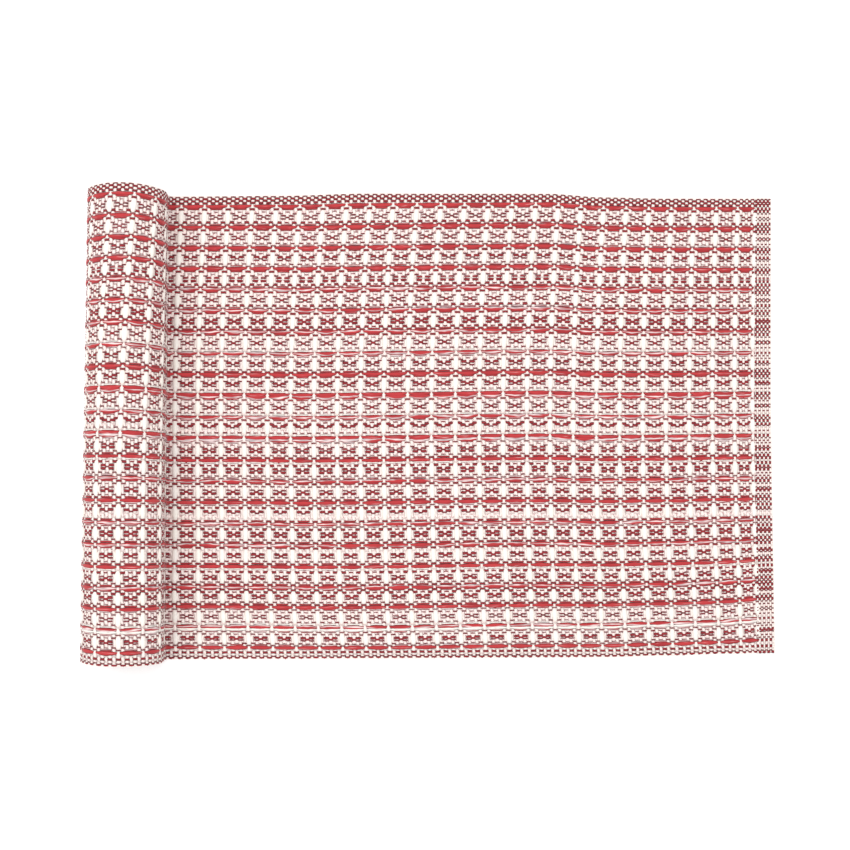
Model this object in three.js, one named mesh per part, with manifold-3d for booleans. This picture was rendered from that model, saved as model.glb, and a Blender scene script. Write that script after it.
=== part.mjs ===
// A woven table runner, 330 mm wide and 1372 mm long, lying flat on a table with its far part rolled under.
// Millimetres, +Z up. X runs along the runner, with the roll at -X, and Y across it. The table is at z = 0.
// The cloth is followed from its hemmed end: along the table, up the flank of the roll, and round to the core.
import * as THREE from "three";
import { mergeVertices } from "three/addons/utils/BufferGeometryUtils.js";
import Module from "manifold-3d";

// Cloth
const CLOTH_LENGTH = 1371.6;
const CLOTH_THICKNESS = 2.1;
const HALF_THICKNESS = CLOTH_THICKNESS / 2;
const HALF_WIDTH = 165; // nominal, the edges wander a little about it

// Hem: a turned band of plain weave, with a shallow channel where it meets the waffle weave
const HEM_WIDTH = 11.5;
const HEM_THICKNESS = 2.5;
const HEM_CHANNEL_WIDTH = 1.2;
const HEM_CHANNEL_THICKNESS = 1.5;
const CHANNEL_WALL = 0.3; // run of the slope on either side of the channel

// Roll
const FLAT_LENGTH = 425; // from the hemmed end to the foot of the roll
const ROLL_RADIUS = 27.8; // middle of the cloth where it meets the flank
const EYE_RADIUS = 2.5; // middle of the cloth where it ends in the core
const ROLL_SQUASH = 0.97; // height of the roll against its width
const FLAT_SPOT_DEPTH = 0.35; // how far the table presses the underside of the roll in
const FOOT_RADIUS = 5; // hollow bend between table and flank
const FLANK_LEAN = THREE.MathUtils.degToRad(5);
const ROLL_TAPER = 0.025; // the roll is this much fatter at its -Y end, and thinner at its +Y end
const ROLL_SKEW = 1.8; // its +Y end stands this far towards +X, its -Y end as far towards -X
const ROLL_FADE = 110; // length of the flat part over which taper and skew die out

// The turns are pressed together, so they are one body with a recess between them at each end of the roll
const CORE_HALF_WIDTH = 161;

// Long edges and the lie of the cloth, by distance from the hemmed end
const EDGES = [
  { along: 0, far: 161.2, near: -161.8, farLift: 0.5, nearLift: 0.9 },
  { along: 30, far: 161.3, near: -162.6, farLift: 0.1, nearLift: 0.1 },
  { along: 75, far: 161.4, near: -164.0, farLift: 0.0, nearLift: 0.0 },
  { along: 118, far: 162.2, near: -165.2, farLift: 0.7, nearLift: 0.2 },
  { along: 160, far: 164.9, near: -165.3, farLift: 0.1, nearLift: 0.0 },
  { along: 290, far: 165.0, near: -166.0, farLift: 0.0, nearLift: 0.5 },
  { along: 345, far: 163.4, near: -166.5, farLift: 0.4, nearLift: 0.0 },
  { along: 425, far: 162.8, near: -166.6, farLift: 0.0, nearLift: 0.0 },
  { along: 452, far: 162.8, near: -165.4, farLift: 0.0, nearLift: 0.0 },
  { along: 496, far: 166.2, near: -164.8, farLift: 0.0, nearLift: 0.0 },
  { along: 540, far: 163.8, near: -163.8, farLift: 0.0, nearLift: 0.0 },
  { along: 1371.6, far: 164.8, near: -164.6, farLift: 0.0, nearLift: 0.0 },
];
const LIFT_STARTS = 0.55; // share of the half width beyond which an edge lifts off the table
const TURN_STAGGER = 0.9; // how far the edges of the inner turns stand in and out
const STAGGER_WAVE = 210; // length of cloth between two turns that stand out
const STAGGER_STARTS = 60; // length of wound cloth before the stagger begins
const STAGGER_FULL = 200; // and before it is whole

// The hemmed end is not quite square: its -Y corner reaches further
const END_REACH = 2.4;
const END_REACH_FADE = 150;
const END_REACH_STARTS = 0.2; // share of the half width beyond the middle, towards +Y

// Steps of the surface
const FLAT_STEP = 15;
const FLANK_STEPS = 4;
const FOOT_STEPS = 7;
const TURN_STEP = THREE.MathUtils.degToRad(12);
const CROSS_STEPS = 12;
const SLOPE_REACH = 0.5; // distance each way over which the slope of the cloth is taken

const CLOTH_COLOUR = 0xd98a88; // red and natural yarns seen together

// Lengths that follow from these
const footTurn = Math.PI / 2 + FLANK_LEAN;
const footLength = FOOT_RADIUS * footTurn;
const lowestTurn = (Math.PI * 1.5 + FLANK_LEAN) / (2 * Math.PI);

function rollPitch(flankLength) {
  const wound = CLOTH_LENGTH - FLAT_LENGTH - footLength - flankLength;
  return (Math.PI * (ROLL_RADIUS ** 2 - EYE_RADIUS ** 2)) / wound;
}

// The pitch and the height of the roll's axis depend on each other through the flank: a few rounds settle both.
function settleRoll() {
  const rounds = 8;
  let flankLength = ROLL_RADIUS / 2;
  let pitch = 0;
  let axisHeight = 0;
  for (let round = 0; round < rounds; round += 1) {
    pitch = rollPitch(flankLength);
    axisHeight =
      ROLL_RADIUS - pitch * lowestTurn + HALF_THICKNESS - FLAT_SPOT_DEPTH;
    const flankTop = axisHeight - ROLL_RADIUS * Math.sin(FLANK_LEAN);
    const flankFoot =
      HALF_THICKNESS + FOOT_RADIUS * (1 + Math.sin(FLANK_LEAN));
    flankLength = (flankTop - flankFoot) / Math.cos(FLANK_LEAN);
  }
  return { flankLength, pitch, axisHeight };
}

const { flankLength, pitch, axisHeight } = settleRoll();
const flankStart = FLAT_LENGTH + footLength;
const windStart = flankStart + flankLength;

// Places along X are measured from the roll's axis
const flankTopX = ROLL_RADIUS * Math.cos(FLANK_LEAN);
const flankFootX = flankTopX - flankLength * Math.sin(FLANK_LEAN);
const footX = flankFootX + FOOT_RADIUS * Math.cos(FLANK_LEAN);
const endX = footX + FLAT_LENGTH;

const smooth = (low, high, value) =>
  THREE.MathUtils.smoothstep(value, low, high);

// The wound cloth loses one pitch of radius in each turn. Angles run about the roll's axis, from +X to +Z.
function windRadius(along) {
  const squared = ROLL_RADIUS ** 2 - ((along - windStart) * pitch) / Math.PI;
  return Math.sqrt(Math.max(squared, 0));
}

function windAngle(along) {
  const turns = (ROLL_RADIUS - windRadius(along)) / pitch;
  return turns * 2 * Math.PI - FLANK_LEAN;
}

function windPlace(angle) {
  const turns = (angle + FLANK_LEAN) / (2 * Math.PI);
  const radius = ROLL_RADIUS - pitch * turns;
  return windStart + (Math.PI * (ROLL_RADIUS ** 2 - radius ** 2)) / pitch;
}

// Middle of the cloth in the X-Z plane, before the roll sags under its weight
function roundLine(along) {
  if (along <= FLAT_LENGTH) {
    return { x: endX - along, z: HALF_THICKNESS };
  }
  if (along <= flankStart) {
    const turned = (along - FLAT_LENGTH) / FOOT_RADIUS;
    return {
      x: footX - FOOT_RADIUS * Math.sin(turned),
      z: HALF_THICKNESS + FOOT_RADIUS * (1 - Math.cos(turned)),
    };
  }
  if (along <= windStart) {
    const up = along - flankStart;
    return {
      x: flankFootX + up * Math.sin(FLANK_LEAN),
      z:
        HALF_THICKNESS +
        FOOT_RADIUS * (1 + Math.sin(FLANK_LEAN)) +
        up * Math.cos(FLANK_LEAN),
    };
  }
  const radius = windRadius(along);
  const angle = windAngle(along);
  return {
    x: radius * Math.cos(angle),
    z: axisHeight + radius * Math.sin(angle),
  };
}

function middleLine(along) {
  const { x, z } = roundLine(along);
  return { x, z: HALF_THICKNESS + (z - HALF_THICKNESS) * ROLL_SQUASH };
}

// Half the thickness of the cloth, thinner in the channel beside the hem
function halfThickness(along) {
  const pastHem = along - HEM_WIDTH;
  if (pastHem < -HEM_CHANNEL_WIDTH / 2) return HEM_THICKNESS / 2;
  if (pastHem < HEM_CHANNEL_WIDTH / 2) return HEM_CHANNEL_THICKNESS / 2;
  return HALF_THICKNESS;
}

// A point on one side of the cloth: side is +1 on its face, which lies up and outward, and -1 on its reverse
function sidePoint(along, side) {
  const middle = middleLine(along);
  const before = middleLine(Math.max(along - SLOPE_REACH, 0));
  const after = middleLine(Math.min(along + SLOPE_REACH, CLOTH_LENGTH));
  const run = Math.hypot(after.x - before.x, after.z - before.z);
  const out = side * halfThickness(along);
  return {
    x: middle.x + (out * (after.z - before.z)) / run,
    z: middle.z - (out * (after.x - before.x)) / run,
  };
}

function edgesAt(along) {
  const next = Math.max(
    EDGES.findIndex((row) => row.along >= along),
    1,
  );
  const a = EDGES[next - 1];
  const b = EDGES[next];
  const share = smooth(a.along, b.along, along);
  const mix = (column) =>
    THREE.MathUtils.lerp(a[column], b[column], share);
  const wound = along - windStart;
  const stagger =
    TURN_STAGGER *
    smooth(STAGGER_STARTS, STAGGER_FULL, wound) *
    Math.sin((wound * 2 * Math.PI) / STAGGER_WAVE);
  return {
    far: mix("far") + stagger,
    near: mix("near") + stagger,
    farLift: mix("farLift"),
    nearLift: mix("nearLift"),
  };
}

// The roll's taper and skew, faded out along the flat part: rolled is 1 on the roll and 0 well away from it
function placed(x, y, z, rolled) {
  const across = y / HALF_WIDTH;
  const size = 1 - rolled * ROLL_TAPER * across;
  return [x * size + rolled * ROLL_SKEW * across, y, Math.max(z * size, 0)];
}

function clothPoint(along, cross, side) {
  const { x, z } = sidePoint(along, side);
  const edges = edgesAt(along);
  const y = THREE.MathUtils.lerp(edges.near, edges.far, (cross + 1) / 2);
  const edgeLift = cross > 0 ? edges.farLift : edges.nearLift;
  const lift = edgeLift * smooth(LIFT_STARTS, 1, Math.abs(cross));
  const corner = smooth(-END_REACH_STARTS, 1, -cross);
  const reach = END_REACH * corner * (1 - smooth(0, END_REACH_FADE, along));
  const rolled = smooth(FLAT_LENGTH - ROLL_FADE, FLAT_LENGTH, along);
  return placed(x + reach, y, z + lift, rolled);
}

// Distances from the hemmed end at which the surface has a row of points
function rowPlaces() {
  const halfChannel = HEM_CHANNEL_WIDTH / 2;
  const places = [
    0,
    HEM_WIDTH - halfChannel - CHANNEL_WALL,
    HEM_WIDTH - halfChannel,
    HEM_WIDTH + halfChannel - CHANNEL_WALL,
    HEM_WIDTH + halfChannel,
  ];
  const flatSteps = Math.round((FLAT_LENGTH - HEM_WIDTH) / FLAT_STEP);
  for (let step = 1; step <= flatSteps; step += 1) {
    places.push(HEM_WIDTH + ((FLAT_LENGTH - HEM_WIDTH) * step) / flatSteps);
  }
  for (let step = 1; step <= FOOT_STEPS; step += 1) {
    places.push(FLAT_LENGTH + (footLength * step) / FOOT_STEPS);
  }
  for (let step = 1; step < FLANK_STEPS; step += 1) {
    places.push(flankStart + (flankLength * step) / FLANK_STEPS);
  }
  const lastAngle = windAngle(CLOTH_LENGTH);
  const turnSteps = Math.ceil((lastAngle + FLANK_LEAN) / TURN_STEP);
  for (let step = 0; step <= turnSteps; step += 1) {
    const angle = Math.min(step * TURN_STEP - FLANK_LEAN, lastAngle);
    places.push(windPlace(angle));
  }
  return places;
}

// The whole cloth as one closed skin: face, reverse and the rim that joins them
function clothGeometry() {
  const places = rowPlaces();
  const columns = CROSS_STEPS + 1;
  const layer = places.length * columns;
  const points = [];
  for (const side of [1, -1]) {
    for (const along of places) {
      for (let column = 0; column < columns; column += 1) {
        points.push(
          ...clothPoint(along, (2 * column) / CROSS_STEPS - 1, side),
        );
      }
    }
  }
  const faces = [];
  const quad = (a, b, c, d) => faces.push(a, b, c, a, c, d);
  const at = (row, column) => row * columns + column;
  for (let row = 0; row + 1 < places.length; row += 1) {
    for (let column = 0; column < CROSS_STEPS; column += 1) {
      const a = at(row, column);
      const b = at(row, column + 1);
      const c = at(row + 1, column + 1);
      const d = at(row + 1, column);
      quad(a, b, c, d);
      quad(layer + d, layer + c, layer + b, layer + a);
    }
    const near = [at(row, 0), at(row + 1, 0)];
    const far = [at(row, CROSS_STEPS), at(row + 1, CROSS_STEPS)];
    quad(near[0], near[1], layer + near[1], layer + near[0]);
    quad(layer + far[0], layer + far[1], far[1], far[0]);
  }
  const last = places.length - 1;
  for (let column = 0; column < CROSS_STEPS; column += 1) {
    const hem = [at(0, column), at(0, column + 1)];
    const core = [at(last, column), at(last, column + 1)];
    quad(layer + hem[0], layer + hem[1], hem[1], hem[0]);
    quad(core[0], core[1], layer + core[1], layer + core[0]);
  }
  const geometry = new THREE.BufferGeometry();
  geometry.setAttribute(
    "position",
    new THREE.Float32BufferAttribute(points, 3),
  );
  geometry.setIndex(faces);
  return geometry;
}

// The pressed turns: a body inside the outermost turn, a little shorter than the cloth is wide
function coreGeometry() {
  const outline = [];
  const steps = Math.round((2 * Math.PI) / TURN_STEP);
  for (let step = 0; step < steps; step += 1) {
    const { x, z } = middleLine(windPlace(step * TURN_STEP - FLANK_LEAN));
    outline.push(new THREE.Vector2(x, z));
  }
  const geometry = new THREE.ExtrudeGeometry(new THREE.Shape(outline), {
    depth: 2 * CORE_HALF_WIDTH,
    bevelEnabled: false,
  });
  geometry.rotateX(Math.PI / 2);
  geometry.translate(0, CORE_HALF_WIDTH, 0);
  const position = geometry.getAttribute("position");
  for (let index = 0; index < position.count; index += 1) {
    const moved = placed(
      position.getX(index),
      position.getY(index),
      position.getZ(index),
      1,
    );
    position.setXYZ(index, ...moved);
  }
  return geometry;
}

const wasm = await Module();
wasm.setup();

function solidOf(geometry) {
  const bare = geometry.clone();
  bare.deleteAttribute("normal");
  bare.deleteAttribute("uv");
  const merged = mergeVertices(bare, 1e-4);
  return new wasm.Manifold(
    new wasm.Mesh({
      numProp: 3,
      vertProperties: new Float32Array(merged.attributes.position.array),
      triVerts: new Uint32Array(merged.index.array),
    }),
  );
}

function geometryOf(solid) {
  const mesh = solid.getMesh();
  const geometry = new THREE.BufferGeometry();
  geometry.setAttribute(
    "position",
    new THREE.Float32BufferAttribute(mesh.vertProperties, 3),
  );
  geometry.setIndex(new THREE.Uint32BufferAttribute(mesh.triVerts, 1));
  geometry.computeVertexNormals();
  return geometry;
}

function runnerMesh() {
  const wound = solidOf(clothGeometry()).add(solidOf(coreGeometry()));
  const geometry = geometryOf(wound);
  geometry.computeBoundingBox();
  const { min, max } = geometry.boundingBox;
  geometry.translate(-(min.x + max.x) / 2, -(min.y + max.y) / 2, -min.z);
  const material = new THREE.MeshStandardMaterial({
    color: CLOTH_COLOUR,
    roughness: 0.9,
    metalness: 0,
  });
  const mesh = new THREE.Mesh(geometry, material);
  mesh.name = "runner";
  return mesh;
}

const runner = new THREE.Group();
runner.add(runnerMesh());

export default runner;
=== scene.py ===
"""A woven waffle-weave table runner, lying flat with its far part rolled under, on a pale studio floor.

Lengths inside the script are millimetres, along the cloth from its hemmed end and across it from its middle.
They become metres as each mesh is made. The settings in the sidebar are metres, as Blender shows them.
"""

from collections import namedtuple

import bpy
import numpy as np
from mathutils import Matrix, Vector


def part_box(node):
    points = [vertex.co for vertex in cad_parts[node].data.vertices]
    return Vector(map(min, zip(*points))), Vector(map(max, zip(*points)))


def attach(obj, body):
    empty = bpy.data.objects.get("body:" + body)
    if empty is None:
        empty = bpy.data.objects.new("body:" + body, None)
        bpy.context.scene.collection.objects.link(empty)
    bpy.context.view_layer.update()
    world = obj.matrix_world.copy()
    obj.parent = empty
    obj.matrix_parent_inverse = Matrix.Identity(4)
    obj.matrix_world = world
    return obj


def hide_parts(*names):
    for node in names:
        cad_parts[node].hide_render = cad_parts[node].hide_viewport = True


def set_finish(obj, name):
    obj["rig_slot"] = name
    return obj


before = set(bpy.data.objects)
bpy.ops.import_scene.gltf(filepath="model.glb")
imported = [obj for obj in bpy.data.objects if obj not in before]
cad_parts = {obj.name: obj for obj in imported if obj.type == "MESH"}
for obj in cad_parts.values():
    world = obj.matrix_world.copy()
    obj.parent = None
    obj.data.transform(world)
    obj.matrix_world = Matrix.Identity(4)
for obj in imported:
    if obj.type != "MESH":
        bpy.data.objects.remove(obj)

bl_info = {
    "name": "Waffle Table Runner",
    "version": (1, 0, 0),
    "blender": (4, 5, 0),
    "location": "View3D > Sidebar > Runner",
    "description": "Weaves a striped waffle table runner, rolled at one end, yarn by yarn",
    "category": "Object",
}

METRE = 1000.0
SOLID = "runner"
BODY = "root"

# The lie of the cloth, as in the solid
CLOTH_LENGTH = 1371.6
CLOTH_WIDTH = 330.0
HALF_WIDTH = CLOTH_WIDTH / 2
HALF_THICKNESS = 1.05
HEM_WIDTH = 11.5
FLAT_LENGTH = 425.0
ROLL_RADIUS = 27.8
EYE_RADIUS = 2.5
ROLL_SQUASH = 0.97
FLAT_SPOT_DEPTH = 0.35
FOOT_RADIUS = 5.0
FLANK_LEAN = np.radians(5.0)
ROLL_TAPER = 0.025
ROLL_SKEW = 1.8
ROLL_FADE = 110.0
LIFT_STARTS = 0.55
TURN_STAGGER = 0.9
STAGGER_WAVE = 210.0
STAGGER_STARTS = 60.0
STAGGER_FULL = 200.0
END_REACH = 2.4
END_REACH_FADE = 150.0
END_REACH_STARTS = 0.2
SLOPE_REACH = 0.5

# Distance along the cloth, its two edges, and how far each lifts off the table
EDGES = np.array(
    (
        (0.0, 161.2, -161.8, 0.5, 0.9),
        (30.0, 161.3, -162.6, 0.1, 0.1),
        (75.0, 161.4, -164.0, 0.0, 0.0),
        (118.0, 162.2, -165.2, 0.7, 0.2),
        (160.0, 164.9, -165.3, 0.1, 0.0),
        (290.0, 165.0, -166.0, 0.0, 0.5),
        (345.0, 163.4, -166.5, 0.4, 0.0),
        (425.0, 162.8, -166.6, 0.0, 0.0),
        (452.0, 162.8, -165.4, 0.0, 0.0),
        (496.0, 166.2, -164.8, 0.0, 0.0),
        (540.0, 163.8, -163.8, 0.0, 0.0),
        (1371.6, 164.8, -164.6, 0.0, 0.0),
    )
)

# Weave draft: a cell of the waffle is six picks long and eight ends high. For each role of an end, the picks
# that it passes over
PICKS_A_CELL = 6
DRAFT = {
    "ridge": {1, 2, 3, 4, 5},
    "beside": {0, 2, 3, 4},
    "third": {1, 3, 5},
    "fourth": {2, 4},
    "centre": {3},
    "even": {0, 2, 4},
    "odd": {1, 3, 5},
}
CELL_ROLES = ("ridge", "beside", "third", "fourth", "centre", "fourth", "third", "beside")
# Place of each role between two ridges
PHASES = {
    "ridge": 0.0,
    "beside": 0.125,
    "third": 0.25,
    "fourth": 0.375,
    "centre": 0.5,
    "even": 0.0,
    "odd": 0.0,
}

# Warp plan from the +Y edge to the -Y edge: the kinds of the ends, one row for each band of ovals. R is red,
# Q a red with pale strands, r a mixed red and white ply, w natural. A row of nine starts with two ridge ends
BANDS = (
    "RRrrrrRQ",
    "RRrrQrrr",
    "RRrRrrrr",
    "RRrQwRRQ",
    "QRrrQrRr",
    "QRrRRRRR",
    "QRrrRrrw",
    "QrrRrrrR",
    "RRrRRrrw",
    "RQQrrRrrw",
    "QQRRrwrw",
    "RrrrQrRrR",
    "RwRRrRrr",
    "QRrrRRrR",
    "RrRRrwwR",
    "QrRRRRrR",
    "QRwRRrrR",
    "RwRrRRrR",
    "QRRRRrrR",
    "Rrrrrrrw",
    "QwrrRRrrr",
)
CLOSING_KIND = "R"  # the ridge end below the last band

# Places across the cloth of a few ends, counted from the first ridge. The others lie evenly between these
END_NUMBERS = (0, 4, 36, 60, 102, 142, 167, 171)
END_PLACES = (157.0, 149.5, 90.5, 44.5, -31.0, -107.0, -151.0, -157.0)
# The ends of the two selvedges: their place across the cloth, their role and their kind
FAR_SELVEDGE = ((164.2, "odd", "r"), (162.8, "even", "R"), (161.3, "odd", "R"), (159.7, "even", "R"))
NEAR_SELVEDGE = (
    (-158.7, "odd", "w"),
    (-160.4, "even", "R"),
    (-161.9, "odd", "w"),
    (-163.1, "even", "r"),
    (-164.3, "odd", "R"),
)
DRAWN_IN_BANDS = 12  # in these first bands the third end above the ovals is drawn towards their middle
DRAWN_IN = 1.2  # by so much, in the dashes on either side of its middle one
GATHERED = 0.75  # how far the fourth ends lie towards the centre end

# A kind of end: half width of its dashes, how light they are painted (painted shade where they dip between
# the picks), how pale its ply is and whether it is natural
Kind = namedtuple("Kind", "dash bright pale natural")
KINDS = {
    "R": Kind(dash=1.12, bright=0.38, pale=0.0, natural=False),
    "Q": Kind(dash=0.92, bright=0.45, pale=0.6, natural=False),
    "r": Kind(dash=0.62, bright=0.15, pale=1.0, natural=False),
    "w": Kind(dash=0.42, bright=0.60, pale=1.0, natural=True),
}
End = namedtuple("End", "across role kind shift below_ridge", defaults=(0.0, False))

# Middle of the columns of ovals along the cloth, by their number from the hem
COLUMN_NUMBERS = (0, 1, 2, 10, 16, 24, 25, 26, 37)
COLUMN_PLACES = (12.9, 25.8, 41.6, 173.5, 275.5, 408.0, 424.2, 440.6, 624.8)
PICK_SHARES = (0.0, 0.18, 0.343, 0.5, 0.657, 0.82)  # a cell's picks, the fat first one with more room
COLUMNS = 34
FINE_LENGTH = 571.0  # beyond this the cloth is inside the roll
FLAT_PICKS = 27 * PICKS_A_CELL  # the ends are in one piece up to this pick and in another beyond it
PICKS_A_PIECE = 13 * PICKS_A_CELL
FOOT_PICKS = range(25 * PICKS_A_CELL - 2, 26 * PICKS_A_CELL + 3)  # where the cloth bends up into the roll

# The picks are bowed: at the edges they lie nearer to the hem
BOW_PLACES = (0.0, 60.0, 175.0, 260.0, 360.0, 410.0, 440.0, 620.0)
BOW_DEPTHS = (1.6, 3.5, 6.2, 6.7, 6.7, 4.6, 3.0, 2.4)

# On the roll the picks run askew and the bands lie nearer to the +Y edge
ON_ROLL = (425.0, 455.0)  # both come in between these distances along the cloth
ROLL_ASKEW = 5.0  # how far a pick lies away from the hem at the -Y edge
ASKEW_FROM = 115.0  # distance across the cloth at which it doesn't
ROLL_SWAY = 2.0  # how far a band lies towards the +Y edge
ROLL_SWAY_FADES = (50.0, 150.0)  # towards that edge it fades between these

# On the flat part the bands sway: how far they lie towards the +Y edge
SWAY_PLACES = (0.0, 110.0, 200.0, 300.0, 370.0, 425.0)
SWAYS = (0.5, 0.5, 0.0, -1.0, 0.1, 0.5)
# At the -Y edge the picks sway too: how far they lie away from the hem
NEAR_SWAY_PLACES = (0.0, 60.0, 150.0, 280.0, 425.0)
NEAR_SWAYS = (-0.4, -0.7, 0.0, 1.0, 1.5)
NEAR_SIDE = (60.0, 130.0)  # distances towards the -Y edge between which this comes in
# Beside the hem the last bands at the -Y edge are pushed towards +Y
HEM_RISE = 2.0
HEM_RISE_LENGTH = 45.0
DRIFT_FADES = (152.0, 163.0)  # towards the long edges the bands' drift fades between these

RIDGE_BOW = 0.8  # how far the ends of a ridge's floats lie above their middle, in the bands of the +Y half
RIDGE_BOW_FADES = (-25.0, 0.0)  # towards the -Y edge the bow fades between these
DASH_REACH = 0.50  # in picks, how far an end stays up on either side of the pick that it passes over
# The same towards the nearer column of ovals, for the ends that reach further there
OUTER_REACH = {"ridge": 0.62, "fourth": 0.54, "third": 0.52}
# Shares of a dash's width
COVERED_DASH = 0.45  # the third ends' middle dash, beside the float that lies on it
SELVEDGE_DASH = 0.76  # the ends of the selvedges
OUTER_DASH = 0.85  # the third ends
CROSSING_DASH = 0.72  # the end beside a ridge, where it crosses the fat pick
# The shorter floats beside a ridge, below it and above it: half width, and how far they are moved towards +Y
SHORT_FLOATS = {True: (0.82, 0.4), False: (0.62, 0.3)}
SHORT_FLOAT_PICKS = (1.3, 4.7)
MIDDLE_PICK = 3.0  # of a cell
OVAL_PULL = 1.35  # how far the picks beside a column of ovals are drawn under them

# The yarns, with half their widths and thicknesses. A pair is for where a yarn lies over others and under
END_THICK = 0.46
END_LIFTS = (0.58, 0.4)  # above the middle of the weave, and below it
# These levels of lightness are painted light and shade: lit where a yarn lies high over others, painted
# shade where it lies low under them
END_UNDER_PAINTED_SHADE = 0.05
SUNK = (1.0, 0.3)  # share of the cell's depth by which a yarn sinks
RING_TOP = (1.0, 1.0)  # level and share of width on a pick that the end passes over
RING_SIDE = (0.6, 0.95)  # where it rises or sinks beside that pick
RING_UNDER = (-1.0, 0.8)  # below a pick
FLOAT_THICKS = (0.5, 0.35)  # of the long floats on the ridges
FLOAT_PAINTED_LIGHTS = (1.0, 0.2)
FLOAT_LIFT = 0.55
FLOAT_CROWN = 0.15  # how much higher a long float is in its middle
FLOAT_HALF_LENGTH = 2.95  # in picks, to where a long float is at its thinnest
FLOAT_TIP = 0.25  # its width there, as a share
SHORT_FLOAT_PAINTED_LIGHT = 0.85
PICK_WIDTHS = (1.6, 1.2)
PICK_THICK = 0.3
PICK_PAINTED_LIGHTS = (0.6, 0.2)
PICK_LIFTS = (0.48, -0.3)
FAT_WIDTHS = (1.45, 0.9)  # of the first pick of a cell, beside its ovals
FAT_THICKS = (0.6, 0.42)  # in its ovals and beside them
# Spreads of the small chances: a yarn's place, its width as a share and, for an end, its lightness
END_CHANCES = (0.07, 0.07, 0.06)
PICK_CHANCES = (0.08, 0.05)

PLY_LENGTH = 0.045  # metres of mixed ply in which its natural strand winds to and fro

HEM_NARROWING = 0.11  # how much narrower the hem is at the +Y edge, as a share
HEM_LIFT = {False: 0.62, True: 0.5}  # middle height of the hem's ends, coloured and natural
HEM_OVERLAP = 0.9  # the hem's ends run on below the waffle weave
HEM_PICK_PITCH = 1.53
HEM_PICKS = 7
HEM_FIRST_PICK = 0.9
HEM_END_THICK = 0.38
HEM_END_SWING = 0.40  # how far the hem's ends rise and fall
HEM_PICK = (0.66, 0.34)  # half width and half thickness
HEM_CLOSING_PICK = (0.32, 0.5)  # the same beside the waffle weave
HEM_TURN = (0.5, 0.95)  # the same at the end of the runner
HEM_INSET = 0.5  # of the last two at the long edges
HEM_CHANCES = (0.06, 0.1)  # spreads of the small chances of an end's place and of the closing pick's

# At the long edges, and inside the roll
TURN_STEP = 1.4  # distance between the points of the edge turns
PICK_PITCH = 2.79

# Material and slot of coloured and of natural yarns
YARN_FINISHES = {False: ("red_cotton_yarn", "red_yarn"), True: ("natural_cotton_yarn", "natural_yarn")}
WHITE = (1.0, 1.0, 1.0)
BLACK = (0.0, 0.0, 0.0)
# Where on the way around a yarn its painted shade starts and is full, away from its top, and the colours of
# that painted shade
CREVICE_STARTS = 0.085
CREVICE_FULL = 0.225
RED_CREVICE_SHADE = (0.19, 0.14, 0.19)
PICK_CREVICE_SHADE = (0.93, 0.85, 0.845)
END_CREVICE_SHADE = (0.42, 0.38, 0.39)
GROUND_COLUMNS = 27
GROUND_INSET = 0.35  # at the long edges
BOW_ENDS = 600.0  # beyond this the rows of the ground are straight
GROUND_PITCHES = (0.00558, 0.00376)  # about the metres of two picks and of two ends

# The stage, in metres
FLOOR_SIZE = 40.0
KEY_PLACE = (-0.30, 0.35, 1.6)
KEY_SIZE = 1.6
CAMERA_PLACE = (-0.0042, 0.0002)  # in X and Y
SENSOR_WIDTH = 36.0  # in millimetres, as Blender has it


def smooth(low, high, value):
    """A share that rises from 0 to 1 between two values."""
    share = np.clip((value - low) / (high - low), 0.0, 1.0)
    return share * share * (3.0 - 2.0 * share)


# Lengths that follow from these
FOOT_LENGTH = FOOT_RADIUS * (np.pi / 2 + FLANK_LEAN)
LOWEST_TURN = (np.pi * 1.5 + FLANK_LEAN) / (2 * np.pi)


def settle_roll():
    """The roll's pitch and the height of its axis depend on each other through the flank."""
    flank = ROLL_RADIUS / 2
    for _ in range(8):
        wound = CLOTH_LENGTH - FLAT_LENGTH - FOOT_LENGTH - flank
        pitch = np.pi * (ROLL_RADIUS**2 - EYE_RADIUS**2) / wound
        height = ROLL_RADIUS - pitch * LOWEST_TURN + HALF_THICKNESS - FLAT_SPOT_DEPTH
        top = height - ROLL_RADIUS * np.sin(FLANK_LEAN)
        foot = HALF_THICKNESS + FOOT_RADIUS * (1 + np.sin(FLANK_LEAN))
        flank = (top - foot) / np.cos(FLANK_LEAN)
    return flank, pitch, height


FLANK_LENGTH, TURN_PITCH, AXIS_HEIGHT = settle_roll()
FLANK_START = FLAT_LENGTH + FOOT_LENGTH
WIND_START = FLANK_START + FLANK_LENGTH
FLANK_FOOT_X = ROLL_RADIUS * np.cos(FLANK_LEAN) - FLANK_LENGTH * np.sin(FLANK_LEAN)
FOOT_X = FLANK_FOOT_X + FOOT_RADIUS * np.cos(FLANK_LEAN)
END_X = FOOT_X + FLAT_LENGTH


def middle_line(along):
    """Middle of the cloth in the X-Z plane, X from the roll's axis."""
    turned = (along - FLAT_LENGTH) / FOOT_RADIUS
    up = along - FLANK_START
    radius = np.sqrt(np.maximum(ROLL_RADIUS**2 - (along - WIND_START) * TURN_PITCH / np.pi, 0.0))
    angle = (ROLL_RADIUS - radius) / TURN_PITCH * 2 * np.pi - FLANK_LEAN
    stretches = [along <= FLAT_LENGTH, along <= FLANK_START, along <= WIND_START]
    foot_top = FOOT_RADIUS * (1 + np.sin(FLANK_LEAN))
    x = np.select(
        stretches,
        [END_X - along, FOOT_X - FOOT_RADIUS * np.sin(turned), FLANK_FOOT_X + up * np.sin(FLANK_LEAN)],
        radius * np.cos(angle),
    )
    height = np.select(
        stretches,
        [0.0 * along, FOOT_RADIUS * (1 - np.cos(turned)), foot_top + up * np.cos(FLANK_LEAN)],
        AXIS_HEIGHT - HALF_THICKNESS + radius * np.sin(angle),
    )
    return x, HALF_THICKNESS + height * ROLL_SQUASH


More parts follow.
